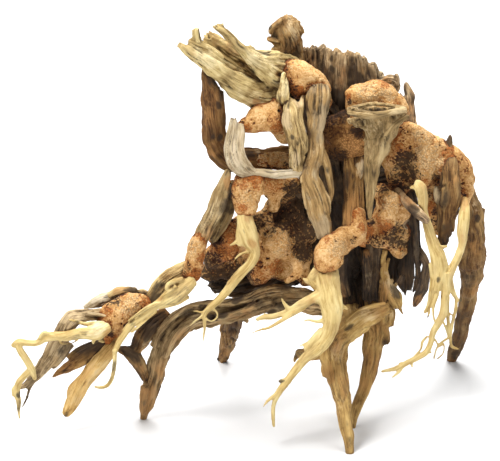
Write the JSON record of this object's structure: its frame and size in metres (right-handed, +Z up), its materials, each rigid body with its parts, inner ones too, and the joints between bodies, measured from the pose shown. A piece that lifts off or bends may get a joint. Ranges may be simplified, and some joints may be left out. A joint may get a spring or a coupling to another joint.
{
  "type": "octopus driftwood root",
  "caption": "Free-standing decorative driftwood root on splayed legs: weathered limbs and pale rootlets joined by mounds of sawdust filler.",
  "frame": {"origin": "centre of the footprint, on the floor that the feet rest on", "axes": "+X across the front, towards the short side with the hanging rootlets; +Y back from the viewer; +Z up"},
  "size_m": [0.2862, 0.1606, 0.2579],
  "materials": {
    "cream_rootlet": "bare pale rootlet, smooth, matt",
    "straw_wood": "straw-coloured weathered wood, matt",
    "grey_wood": "grey-brown weathered wood with open grain",
    "brown_wood": "dark brown weathered wood",
    "tan_wood": "tan weathered wood with brown streaks",
    "dark_wood": "blackened wood, matt",
    "filler": "sawdust set in glue, grainy, orange-tan, matt"
  },
  "bodies": {
    "root": {"front_pale_root": "cream_rootlet", "drop_rootlet": "cream_rootlet", "comb_rootlet": "cream_rootlet", "pale_zigzag_root": "cream_rootlet", "pale_fan_root": "cream_rootlet", "loop_branch": "grey_wood", "funnel_root": "grey_wood", "centre_root": "tan_wood", "crumpled_stem": "straw_wood", "front_leg": "tan_wood", "left_forearm": "grey_wood", "bark_forearm": "grey_wood", "split_log": "tan_wood", "left_bow": "brown_wood", "tan_finger_root": "straw_wood", "grey_knee_root": "grey_wood", "brown_wedge_root": "brown_wood", "grey_upper_arm": "grey_wood", "arm_block": "straw_wood", "arm_strut": "brown_wood", "long_arm_root": "grey_wood", "bridge_twig": "grey_wood", "cone_branch": "brown_wood", "inner_stem": "brown_wood", "right_inner_leg": "tan_wood", "sinew_plate": "tan_wood", "black_stem": "dark_wood", "dark_stub": "dark_wood", "dark_curtain": "dark_wood", "top_knob": "tan_wood", "right_horn": "brown_wood", "right_leg": "brown_wood", "back_leg": "brown_wood", "heart": "dark_wood", "fluted_slab": "dark_wood", "front_filler": "filler", "column_filler": "filler", "loop_filler": "filler", "elbow_filler": "filler", "arm_filler": "filler", "shoulder_filler": "filler", "right_belly_filler": "filler", "belly_filler": "filler", "inner_filler": "filler", "head_filler": "filler", "slab_filler": "filler"}
  },
  "joints": []
}
